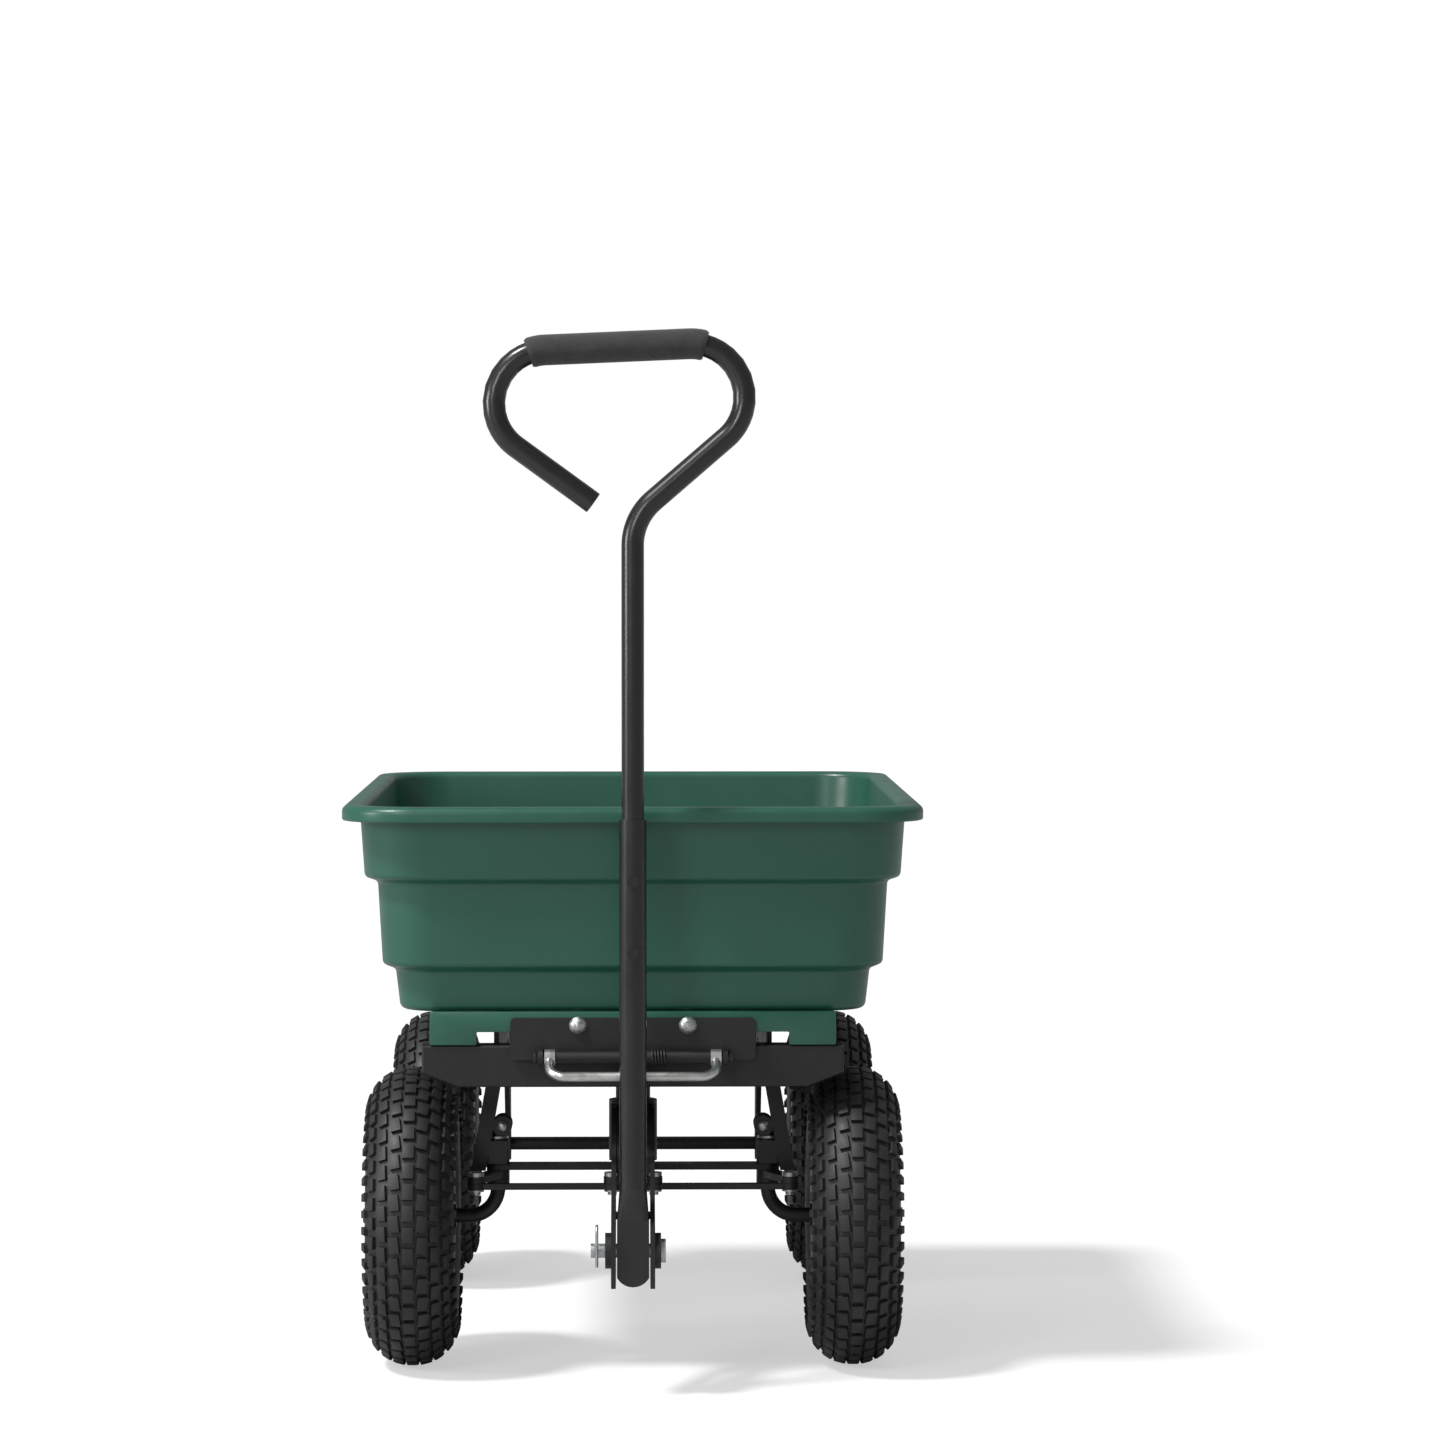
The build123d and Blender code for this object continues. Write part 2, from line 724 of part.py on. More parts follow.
def link_pin(x, y):
    # A headed pin through the arm and the tie rod's eye, with a push-on washer below.
    pin_top = Plane((x, y, arm_level))
    disc(pin_top, link_pin_diameter / 2 + 3, 3.5)
    disc(behind(pin_top, 0), link_pin_diameter / 2, 16)
    disc(Plane((x, y, tie_level - tie_rod_thickness - face_gap - 1.5)), 7, 1.5)


with BuildPart() as tie_rod_pins:
    for _, side in sides:
        link_pin(side * link_x, link_y)
save(tie_rod_pins, "tie_rod_pins")

pin_left = -(cheek_outer + yoke_pad + 12)
pin_right = cheek_outer + yoke_pad
with BuildPart() as handle_pivot_pin:
    pin_start = across(pin_left, pivot_y, drawbar_height)
    disc(pin_start, pivot_pin_diameter / 2, pin_right - pin_left)
    disc(across(pin_right, pivot_y, drawbar_height), pivot_pin_diameter / 2 + 4, 4)
    hole(Plane((pin_left + 5, pivot_y, drawbar_height)), 1.4, 20)
save(handle_pivot_pin, "handle_pivot_pin")

# R-clip: one straight leg through the pin, one leg bowed round it
with BuildPart() as r_clip:
    clip_x = pin_left + 5
    with BuildLine() as clip_path:
        leg = Line(
            (clip_x, pivot_y, drawbar_height - 14),
            (clip_x, pivot_y, drawbar_height + 16),
        )
        loop = ThreePointArc(
            leg @ 1,
            (clip_x, pivot_y - 5.5, drawbar_height + 21.5),
            (clip_x, pivot_y - 11, drawbar_height + 16),
        )
        bow = Line(loop @ 1, (clip_x, pivot_y - 8.5, drawbar_height - 8))
    with BuildSketch(Plane(clip_path.line @ 0, z_dir=clip_path.line % 0)):
        Circle(1.25)
    sweep(transition=Transition.ROUND)
save(r_clip, "r_clip")

# Tie rods: flat bars with an eye at each end, hanging under the arms
for name, side in sides:
    with BuildPart() as tie_rod:
        inner_x = side * link_x
        outer_x = side * (kingpin_offset + arm_across)
        with BuildSketch(Plane((0, link_y, tie_level - tie_rod_thickness))):
            with Locations(((inner_x + outer_x) / 2, 0)):
                Rectangle(abs(outer_x - inner_x), tie_rod_width)
            with Locations((inner_x, 0), (outer_x, 0)):
                Circle(arm_width / 2)
                Circle(link_pin_diameter / 2 + 0.1, mode=Mode.SUBTRACT)
        extrude(amount=tie_rod_thickness)
        for eye_x in (inner_x, outer_x):
            hole(Plane((eye_x, link_y, tie_level)), link_pin_diameter / 2 + 0.1, 12)
    save(tie_rod, "tie_rod_" + name)

# Knuckles: a rod bent from kingpin to wheel spindle, with the steering arm on a collar
for name, side in sides:
    kingpin_x = side * kingpin_offset
    with BuildPart() as knuckle:
        with BuildLine() as rod_path:
            FilletPolyline(
                (kingpin_x, front_y, tube_top + 8),
                (kingpin_x, front_y, axle_z),
                (side * axle_end, front_y, axle_z),
                radius=spindle_bend,
            )
        with BuildSketch(Plane(rod_path.line @ 0, z_dir=rod_path.line % 0)):
            Circle(rod_radius)
        sweep()
        collar_top = tube_bottom - face_gap
        disc(Plane((kingpin_x, front_y, axle_z + spindle_bend)), 10, collar_top - axle_z - spindle_bend)
        disc(outward(side, collar_inner, front_y, axle_z), 10, 3)
        with BuildSketch(Plane((0, 0, arm_level - arm_thickness))):
            arm_x = side * (kingpin_offset + arm_across)
            with BuildLine():
                Polyline(
                    (kingpin_x - 8, front_y),
                    (arm_x - arm_width / 2, link_y),
                    (arm_x + arm_width / 2, link_y),
                    (kingpin_x + 8, front_y),
                    close=True,
                )
            make_face()
            with Locations((arm_x, link_y)):
                Circle(arm_width / 2)
        extrude(amount=arm_thickness)
        hole(Plane((arm_x, link_y, arm_level)), link_pin_diameter / 2 + 0.1, 10)
        hole(Plane((kingpin_x, front_y, tube_top + 5.4), z_dir=(0, 1, 0)), 1.7, 12)
        hole(Plane((side * (wheel_face + 5), front_y, axle_z)), 1.7, 12)
    save(knuckle, "knuckle_" + name)
    with BuildPart() as retainers:
        washer_and_pin(outward(side, wheel_face, front_y, axle_z), rod_radius, 5, 10)
        top_plane = Plane((kingpin_x, front_y, tube_top + face_gap))
        disc(top_plane, top_washer_radius, 2, rod_radius + 0.2)
        pin_start = (kingpin_x, front_y - cross_pin_length / 2, tube_top + 5.4)
        disc(Plane(pin_start, z_dir=(0, 1, 0)), 1.5, cross_pin_length)
        link_pin(side * (kingpin_offset + arm_across), link_y)
    save(retainers, "knuckle_retainers_" + name)

# Drawbar handle, built along its own leaning axis from the pivot
handle_axis = Vector(0, sin(radians(handle_lean)), cos(radians(handle_lean)))
pivot = Vector(0, pivot_y, drawbar_height)
face_normal = Vector(0, -cos(radians(handle_lean)), sin(radians(handle_lean)))
handle_face = Plane(origin=pivot, x_dir=(1, 0, 0), z_dir=face_normal)


def handle_section(height):
    # A plane square to the handle at a distance above its pivot.
    return Plane(origin=pivot + handle_axis * height, x_dir=(1, 0, 0), z_dir=handle_axis)


swage_start = 26
swage_end = 52
handle_bolt_heights = (250, 310)
with BuildPart() as handle_lower:
    with BuildSketch(handle_face):
        with BuildLine():
            half_width = tongue_width / 2
            top_left = Line((-half_width, -tongue_below_pin + 8), (-half_width, swage_start))
            top_edge = Line(top_left @ 1, (half_width, swage_start))
            right_edge = Line(top_edge @ 1, (half_width, -tongue_below_pin + 8))
            ThreePointArc(right_edge @ 1, (0, -tongue_below_pin), top_left @ 0)
        make_face()
    extrude(amount=tongue_depth / 2, both=True)
    with BuildSketch(handle_section(swage_start)) as swage_low:
        RectangleRounded(tongue_width, tongue_depth, 5)
    with BuildSketch(handle_section(swage_end)) as swage_high:
        Circle(lower_tube_diameter / 2)
    loft([swage_low.sketch, swage_high.sketch])
    disc(handle_section(swage_end), lower_tube_diameter / 2, sleeve_length - swage_end)
    with BuildSketch(handle_section(swage_end + 4)) as bore:
        Circle(lower_tube_diameter / 2 - lower_tube_wall)
    extrude(bore.sketch, amount=sleeve_length, mode=Mode.SUBTRACT)
    hole(across(0, pivot_y, drawbar_height), pivot_pin_diameter / 2 + running_fit, 40)
    for height in handle_bolt_heights:
        bolt_origin = pivot + handle_axis * height
        hole(Plane(bolt_origin, x_dir=(1, 0, 0), z_dir=face_normal), 3.2, 20)
save(handle_lower, "handle_lower")

with BuildPart() as handle_upper:
    with BuildLine(handle_face) as loop_path:
        FilletPolyline(
            (0, 220),
            (0, loop_start),
            loop_right,
            loop_left,
            loop_end,
            radius=(neck_bend, loop_bend, loop_bend),
        )
    with BuildSketch(Plane(loop_path.line @ 0, z_dir=loop_path.line % 0)):
        Circle(upper_tube_diameter / 2)
        Circle(upper_tube_diameter / 2 - upper_tube_wall, mode=Mode.SUBTRACT)
    sweep()
    for height in handle_bolt_heights:
        bolt_origin = pivot + handle_axis * height
        hole(Plane(bolt_origin, x_dir=(1, 0, 0), z_dir=face_normal), 3.2, 20)
save(handle_upper, "handle_upper")

# Foam grip along the straight top of the loop and a little way round each bend
top_direction = degrees(atan2(loop_right[1] - loop_left[1], loop_right[0] - loop_left[0]))


def bend_centre(corner, towards):
    # Centre of the bend at a loop corner, on the bisector of its two arms.
    arms = [(Vector(*end) - Vector(*corner)).normalized() for end in towards]
    middle = (arms[0] + arms[1]).normalized()
    reach = loop_bend / sin(radians(arms[0].get_angle(arms[1]) / 2))
    centre = Vector(*corner) + middle * reach
    return centre.X, centre.Y


left_centre = bend_centre(loop_left, (loop_right, loop_end))
right_centre = bend_centre(loop_right, (loop_left, (0, loop_start)))
with BuildPart() as grip:
    with BuildLine(handle_face) as grip_path:
        first_bend = CenterArc(left_centre, loop_bend, 90 + top_direction + grip_wrap, -grip_wrap)
        second_start = (
            right_centre[0] + loop_bend * cos(radians(90 + top_direction)),
            right_centre[1] + loop_bend * sin(radians(90 + top_direction)),
        )
        Line(first_bend @ 1, second_start)
        CenterArc(right_centre, loop_bend, 90 + top_direction, -grip_wrap)
    with BuildSketch(Plane(grip_path.line @ 0, z_dir=grip_path.line % 0)):
        Circle(grip_diameter / 2)
        Circle(upper_tube_diameter / 2 + running_fit, mode=Mode.SUBTRACT)
    sweep()
save(grip, "grip")

with BuildPart() as handle_bolts:
    for height in handle_bolt_heights:
        bolt_origin = pivot + handle_axis * height + face_normal * (lower_tube_diameter / 2)
        bolt_plane = Plane(bolt_origin, x_dir=(1, 0, 0), z_dir=face_normal)
        disc(bolt_plane, 5, 2.2)
        disc(behind(bolt_plane, 0), 3, lower_tube_diameter + 5)
        hexagon(behind(bolt_plane, lower_tube_diameter), 5.5, 3.5)
save(handle_bolts, "handle_bolts")


# Wheels: pneumatic tyre and tube on a two-part pressed rim with a ball-bearing hub
def half_rim(centre, direction):
    # One pressed half: disc, dropped well, bead seat and flange turned over at the edge.
    seat = rim_seat_radius - rim_thickness / 2
    line_offset = rim_thickness / 2 + 0.1
    axle = Axis(centre, (1, 0, 0))
    section_plane = Plane(
        origin=centre, x_dir=(direction, 0, 0), z_dir=(0, -direction, 0)
    )
    with BuildSketch(section_plane) as section:
        with BuildLine() as outline:
            Polyline(
                (line_offset, hub_diameter / 2 + 0.1 + rim_thickness / 2),
                (line_offset, seat - 13),
                (line_offset + 5, seat - 4),
                (line_offset + 11, seat),
                (rim_flange - 3, seat),
                (rim_flange, seat + 3),
                (rim_flange, seat + 11),
                (rim_flange + 3, seat + 13.5),
            )
            offset(amount=rim_thickness / 2, side=Side.BOTH)
        make_face(outline.edges())
    revolve(section.sketch, axis=axle)


wheel_spots = (
    ("front_left", -1, front_y),
    ("front_right", 1, front_y),
    ("rear_left", -1, rear_y),
    ("rear_right", 1, rear_y),
)
for name, side, y in wheel_spots:
    centre = Vector(side * wheel_x, y, axle_z)
    axle = Axis(centre, (1, 0, 0))
    radial = Plane(origin=centre, x_dir=(side, 0, 0), z_dir=(0, -side, 0))

    with BuildPart() as tyre:
        half = tyre_width / 2
        bead_radius = rim_seat_radius + 0.4
        with BuildSketch(radial):
            with BuildLine():
                right_bead = Line((19, bead_radius), (25.5, bead_radius))
                right_toe = Line(right_bead @ 1, (28.6, bead_radius + 4))
                right_foot = Line(right_toe @ 1, (28.6, bead_radius + 11))
                right_wall = ThreePointArc(right_foot @ 1, (half, 92), (half - 5, tyre_radius - 11))
                tread = ThreePointArc(right_wall @ 1, (0, tyre_radius), (5 - half, tyre_radius - 11))
                left_wall = ThreePointArc(tread @ 1, (-half, 92), (-28.6, bead_radius + 11))
                left_foot = Line(left_wall @ 1, (-28.6, bead_radius + 4))
                left_toe = Line(left_foot @ 1, (-25.5, bead_radius))
                left_bead = Line(left_toe @ 1, (-19, bead_radius))
                inner_left = Line(left_bead @ 1, (-22, 64))
                inner_left_wall = ThreePointArc(inner_left @ 1, (4 - half, 92), (12 - half, 112))
                inner_crown = ThreePointArc(inner_left_wall @ 1, (0, tyre_radius - tread_thickness), (half - 12, 112))
                inner_right_wall = ThreePointArc(inner_crown @ 1, (half - 4, 92), (22, 64))
                Line(inner_right_wall @ 1, right_bead @ 0)
            make_face()
        revolve(axis=axle)
    save(tyre, "tyre_" + name)

    with BuildPart() as inner_tube:
        with BuildSketch(radial):
            with Locations((0, tyre_radius - tread_thickness - 0.5 - air_half_height)):
                Ellipse(half - 9, air_half_height)
                Ellipse(half - 9 - tube_thickness, air_half_height - tube_thickness, mode=Mode.SUBTRACT)
        revolve(axis=axle)
        valve_foot = centre + Vector(side * valve_offset, 0, 34)
        disc(Plane(valve_foot), 4, 27)
        disc(Plane(valve_foot), 5, 7)
        with BuildSketch(Plane(valve_foot)):
            Circle(1)
        extrude(amount=40, mode=Mode.SUBTRACT)
    save(inner_tube, "inner_tube_" + name)

    with BuildPart() as rim_halves:
        half_rim(centre, 1)
        half_rim(centre, -1)
        with BuildSketch(Plane(origin=centre, x_dir=(0, 1, 0), z_dir=(1, 0, 0))):
            with PolarLocations(rim_bolt_circle, rim_bolt_count, 45):
                Circle(rim_bolt_diameter / 2 + 0.2)
        extrude(amount=8, both=True, mode=Mode.SUBTRACT)
        with BuildSketch(Plane(centre + Vector(side * valve_offset, 0, 40))):
            Circle(5.2)
        extrude(amount=20, mode=Mode.SUBTRACT)
    save(rim_halves, "rim_halves_" + name)

    hub_start = centre - Vector(hub_half_length, 0, 0)
    hub_face = Plane(origin=hub_start, x_dir=(0, 1, 0), z_dir=(1, 0, 0))
    with BuildPart() as hub:
        disc(hub_face, hub_diameter / 2, 2 * hub_half_length, rod_radius + 5)
        for face_side in (-1, 1):
            seat_plane = outward(face_side, 0, y, axle_z)
            mouth = seat_plane.offset(face_side * centre.X + hub_half_length)
            with BuildSketch(mouth):
                Circle(bearing_diameter / 2 + running_fit)
            extrude(amount=-bearing_width, mode=Mode.SUBTRACT)
    save(hub, "hub_" + name)

    with BuildPart() as bearings:
        disc(hub_face, bearing_diameter / 2, bearing_width, rod_radius + running_fit)
        far_start = centre + Vector(hub_half_length - bearing_width, 0, 0)
        far_face = Plane(origin=far_start, x_dir=(0, 1, 0), z_dir=(1, 0, 0))
        disc(far_face, bearing_diameter / 2, bearing_width, rod_radius + running_fit)
    save(bearings, "bearings_" + name)

    with BuildPart() as rim_bolts:
        bolt_face = Plane(
            origin=centre + Vector(side * (rim_thickness + 0.1), 0, 0), x_dir=(0, 1, 0), z_dir=(side, 0, 0)
        )
        nut_face = behind(bolt_face, 2 * rim_thickness + 0.2)
        with BuildSketch(bolt_face):
            with PolarLocations(rim_bolt_circle, rim_bolt_count, 45):
                RegularPolygon(6.8, 6)
        extrude(amount=5)
        with BuildSketch(bolt_face):
            with PolarLocations(rim_bolt_circle, rim_bolt_count, 45):
                Circle(rim_bolt_diameter / 2)
        extrude(amount=-14)
        with BuildSketch(nut_face):
            with PolarLocations(rim_bolt_circle, rim_bolt_count, 45):
                RegularPolygon(6.8, 6)
        extrude(amount=6)
    save(rim_bolts, "rim_bolts_" + name)
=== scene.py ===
import json
import math

import bmesh
import bpy
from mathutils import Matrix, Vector


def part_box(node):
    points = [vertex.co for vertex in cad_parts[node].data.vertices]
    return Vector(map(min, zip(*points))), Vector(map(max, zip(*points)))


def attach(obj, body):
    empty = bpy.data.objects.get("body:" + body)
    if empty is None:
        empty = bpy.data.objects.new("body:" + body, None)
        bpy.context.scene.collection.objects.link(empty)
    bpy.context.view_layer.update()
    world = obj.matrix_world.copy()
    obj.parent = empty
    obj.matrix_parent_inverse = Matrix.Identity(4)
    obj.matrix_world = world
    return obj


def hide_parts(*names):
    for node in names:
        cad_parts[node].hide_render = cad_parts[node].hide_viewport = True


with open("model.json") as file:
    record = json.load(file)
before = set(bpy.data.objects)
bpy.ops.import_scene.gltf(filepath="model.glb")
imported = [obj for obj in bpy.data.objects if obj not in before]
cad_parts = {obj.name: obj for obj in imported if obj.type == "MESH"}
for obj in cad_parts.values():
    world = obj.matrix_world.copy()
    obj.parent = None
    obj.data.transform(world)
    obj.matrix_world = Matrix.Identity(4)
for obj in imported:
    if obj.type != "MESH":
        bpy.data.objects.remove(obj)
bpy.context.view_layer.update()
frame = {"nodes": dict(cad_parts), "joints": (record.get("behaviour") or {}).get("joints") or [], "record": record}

mm = 0.001
nodes = frame["nodes"]
slotOf = {part["node"]: part["material_slot"] for part in frame["record"]["subparts"]}
joints = {joint["name"]: joint for joint in frame["joints"]}
wheels = ("front_left", "front_right", "rear_left", "rear_right")


# ---- node helpers

def newMaterial(name):
    material = bpy.data.materials.new(name)
    material.use_nodes = True
    tree = material.node_tree
    return material, tree, tree.nodes["Principled BSDF"]


def addNode(tree, kind, **settings):
    node = tree.nodes.new(kind)
    for key, value in settings.items():
        setattr(node, key, value)
    return node


def objectCoords(tree, scale=(1, 1, 1)):
    coords = addNode(tree, "ShaderNodeTexCoord")
    mapping = addNode(tree, "ShaderNodeMapping")
    mapping.inputs["Scale"].default_value = scale
    tree.links.new(coords.outputs["Object"], mapping.inputs["Vector"])
    return mapping.outputs["Vector"]


def noise(tree, vector, scale, detail=4, roughness=0.5, distortion=0):
    node = addNode(tree, "ShaderNodeTexNoise")
    tree.links.new(vector, node.inputs["Vector"])
    node.inputs["Scale"].default_value = scale
    node.inputs["Detail"].default_value = detail
    node.inputs["Roughness"].default_value = roughness
    node.inputs["Distortion"].default_value = distortion
    return node.outputs["Fac"]


def ramp(tree, value, stops):
    node = addNode(tree, "ShaderNodeValToRGB")
    elements = node.color_ramp.elements
    while len(elements) < len(stops):
        elements.new(0.5)
    for element, (place, color) in zip(elements, stops):
        element.position = place
        element.color = (*color, 1) if len(color) == 3 else color
    tree.links.new(value, node.inputs["Fac"])
    return node.outputs["Color"]


def spread(tree, value, low, high, fromLow=0.3, fromHigh=0.7):
    node = addNode(tree, "ShaderNodeMapRange")
    tree.links.new(value, node.inputs["Value"])
    node.inputs["From Min"].default_value = fromLow
    node.inputs["From Max"].default_value = fromHigh
    node.inputs["To Min"].default_value = low
    node.inputs["To Max"].default_value = high
    return node.outputs["Result"]


def bump(tree, shader, height, strength, distance, after=None):
    node = addNode(tree, "ShaderNodeBump")
    node.inputs["Strength"].default_value = strength
    node.inputs["Distance"].default_value = distance
    tree.links.new(height, node.inputs["Height"])
    if after is not None:
        tree.links.new(after, node.inputs["Normal"])
    tree.links.new(node.outputs["Normal"], shader.inputs["Normal"])
    return node.outputs["Normal"]


# ---- materials

def tubPlastic():
    material, tree, shader = newMaterial("tubGreenPlastic")
    place = objectCoords(tree)
    cloud = noise(tree, place, 5, 5, 0.6)
    color = ramp(tree, cloud, [(0.3, (0.0125, 0.088, 0.056)), (0.7, (0.0165, 0.104, 0.068))])
    tree.links.new(color, shader.inputs["Base Color"])
    grain = noise(tree, place, 900, 2, 0.5)
    tree.links.new(spread(tree, noise(tree, place, 40, 5), 0.33, 0.43), shader.inputs["Roughness"])
    ripple = noise(tree, objectCoords(tree, (1, 1, 0.35)), 22, 2)
    waves = bump(tree, shader, ripple, 0.10, 0.004)
    bump(tree, shader, grain, 0.10, 0.0003, waves)
    shader.inputs["Specular IOR Level"].default_value = 0.5
    shader.inputs["Coat Weight"].default_value = 0.12
    shader.inputs["Coat Roughness"].default_value = 0.25
    return material


def blackEnamel(name, shade, roughness, coat):
    material, tree, shader = newMaterial(name)
    place = objectCoords(tree)
    dust = noise(tree, place, 60, 6, 0.65)
    low, high = shade * 0.85, shade * 1.35
    color = ramp(tree, dust, [(0.35, (low, low, low)), (0.75, (high, high, high * 1.03))])
    tree.links.new(color, shader.inputs["Base Color"])
    rough = spread(tree, noise(tree, place, 25, 4), roughness * 0.85, roughness * 1.2)
    tree.links.new(rough, shader.inputs["Roughness"])
    peel = noise(tree, place, 650, 2)
    bump(tree, shader, peel, 0.03, 0.0002)
    shader.inputs["Coat Weight"].default_value = coat
    shader.inputs["Coat Roughness"].default_value = 0.12
    return material


def zincSteel(name, tone, roughness, spangle):
    material, tree, shader = newMaterial(name)
    place = objectCoords(tree)
    cells = addNode(tree, "ShaderNodeTexVoronoi")
    cells.inputs["Scale"].default_value = spangle
    tree.links.new(place, cells.inputs["Vector"])
    cloud = noise(tree, place, 30, 6, 0.6)
    blend = addNode(tree, "ShaderNodeMix", data_type="FLOAT")
    blend.inputs["Factor"].default_value = 0.55
    bw = addNode(tree, "ShaderNodeRGBToBW")
    tree.links.new(cells.outputs["Color"], bw.inputs["Color"])
    tree.links.new(bw.outputs["Val"], blend.inputs["A"])
    tree.links.new(cloud, blend.inputs["B"])
    dark = tuple(c * 0.78 for c in tone)
    light = tuple(min(1, c * 1.12) for c in tone)
    color = ramp(tree, blend.outputs["Result"], [(0.3, dark), (0.7, light)])
    tree.links.new(color, shader.inputs["Base Color"])
    rough = spread(tree, blend.outputs["Result"], roughness * 0.8, roughness * 1.3)
    tree.links.new(rough, shader.inputs["Roughness"])
    shader.inputs["Metallic"].default_value = 0.9
    bump(tree, shader, noise(tree, place, 300, 3), 0.06, 0.0004)
    return material


def rubber(name, shade, roughness):
    material, tree, shader = newMaterial(name)
    place = objectCoords(tree)
    cloud = noise(tree, place, 18, 6, 0.7)
    low, high = shade * 0.75, shade * 1.5
    color = ramp(tree, cloud, [(0.3, (low, low, low)), (0.75, (high, high * 0.99, high * 0.97))])
    tree.links.new(color, shader.inputs["Base Color"])
    rough = spread(tree, noise(tree, place, 70, 5), roughness * 0.85, roughness * 1.15)
    tree.links.new(rough, shader.inputs["Roughness"])
    bump(tree, shader, noise(tree, place, 800, 3), 0.18, 0.0004)
    return material


def gripFoam():
    material, tree, shader = newMaterial("gripFoam")
    place = objectCoords(tree)
    cells = addNode(tree, "ShaderNodeTexVoronoi", feature="SMOOTH_F1")
    cells.inputs["Scale"].default_value = 900
    tree.links.new(place, cells.inputs["Vector"])
    cloud = noise(tree, place, 80, 6, 0.7)
    color = ramp(tree, cloud, [(0.3, (0.020, 0.020, 0.021)), (0.75, (0.036, 0.036, 0.038))])
    tree.links.new(color, shader.inputs["Base Color"])
    shader.inputs["Roughness"].default_value = 0.82
    shader.inputs["Sheen Weight"].default_value = 0.25
    shader.inputs["Sheen Roughness"].default_value = 0.5
    skin = bump(tree, shader, cloud, 0.25, 0.0008)
    bump(tree, shader, cells.outputs["Distance"], 0.5, 0.0006, skin)
    return material


finishes = {
    "tub_plastic": tubPlastic(),
    "frame_enamel": blackEnamel("frameEnamel", 0.008, 0.5, 0.0),
    "handle_enamel": blackEnamel("handleEnamel", 0.008, 0.3, 0.25),
    "grip_foam": gripFoam(),
    "tyre_rubber": rubber("tyreRubber", 0.016, 0.55),
    "tube_rubber": rubber("tubeRubber", 0.02, 0.6),
    "rim_zinc": zincSteel("rimZinc", (0.52, 0.55, 0.50), 0.34, 160),
    "plated_steel": zincSteel("platedSteel", (0.50, 0.51, 0.52), 0.36, 400),
    "bright_steel": zincSteel("brightSteel", (0.62, 0.62, 0.61), 0.3, 60),
    "black_steel": blackEnamel("blackSteel", 0.014, 0.35, 0.0),
    "bush_nylon": rubber("bushNylon", 0.03, 0.45),
}
for nodeName, node in nodes.items():
    finish = finishes[slotOf[nodeName]]
    if not node.material_slots:
        node.data.materials.append(finish)
    for slot in node.material_slots:
        slot.material = finish
print("materials:", len(finishes))


# ---- mesh helpers

def addPiece(name, mesh, body, replaced, slotName, smoothAngle=35):
    piece = bpy.data.objects.new(name, mesh)
    bpy.context.scene.collection.objects.link(piece)
    if not mesh.materials:
        mesh.materials.append(finishes[slotName])
    mesh.shade_smooth()
    mesh.set_sharp_from_angle(angle=math.radians(smoothAngle))
    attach(piece, body)
    if replaced:
        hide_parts(*replaced)
    return piece


def meshFrom(name, form):
    mesh = bpy.data.meshes.new(name)
    bmesh.ops.recalc_face_normals(form, faces=form.faces)
    form.to_mesh(mesh)
    form.free()
    return mesh


def skin(form, rings):
    # Quads between closed rings of equal length.
    made = [[form.verts.new(point) for point in ring] for ring in rings]
    count = len(made[0])
    for low, high in zip(made, made[1:]):
        for i in range(count):
            j = (i + 1) % count
            form.faces.new((low[i], low[j], high[j], high[i]))
    return made


def joinEnds(form, made):
    # Quads from the last ring back to the first.
    count = len(made[0])
    for i in range(count):
        j = (i + 1) % count
        form.faces.new((made[-1][i], made[-1][j], made[0][j], made[0][i]))


def roundedCorners(points, radii, steps=5, share=0.48):
    # A polyline with each inner corner turned into an arc.
    out = [Vector(points[0])]
    for i in range(1, len(points) - 1):
        before, here, after = (Vector(points[k]) for k in (i - 1, i, i + 1))
        inward, outward = (before - here).normalized(), (after - here).normalized()
        turn = inward.angle(outward)
        reach = radii[i - 1] / math.tan(turn / 2)
        reach = min(reach, share * (before - here).length, share * (after - here).length)
        radius = reach * math.tan(turn / 2)
        middle = (inward + outward).normalized()
        centre = here + middle * (radius / math.sin(turn / 2))
        start, end = here + inward * reach - centre, here + outward * reach - centre
        for k in range(steps + 1):
            t = k / steps
            arm = start.lerp(end, t)
            out.append(centre + arm.normalized() * radius)
    out.append(Vector(points[-1]))
    return out


def roundedRing(halfX, halfY, corner, centre, z, steps=10):
    # A rectangle with round corners, level at z.
    ring = []
    for signX, signY, first in ((1, 1, 0), (-1, 1, 90), (-1, -1, 180), (1, -1, 270)):
        cx, cy = signX * (halfX - corner), signY * (halfY - corner)
        for k in range(steps + 1):
            angle = math.radians(first + 90 * k / steps)
            x = centre[0] + cx + corner * math.cos(angle)
            y = centre[1] + cy + corner * math.sin(angle)
            ring.append((x, y, z))
    return ring


# ---- tub

tubSet = {
    "wall": 4 * mm,
    "overhang": 15 * mm,
    "lipHeight": 13.5 * mm,
    "corner": 62 * mm,
    "draft": 4 * mm,
    "ledge": 11 * mm,
    "levels": (431.5, 427.5, 356, 351, 316),
    "softEdge": 5 * mm,
    "footRound": 6 * mm,
    "bedRound": 10 * mm,
    "lipRound": 6 * mm,
    "lipInside": 4.5 * mm,
    "floorStart": 30 * mm,
    "tightCorner": 5 * mm,
}


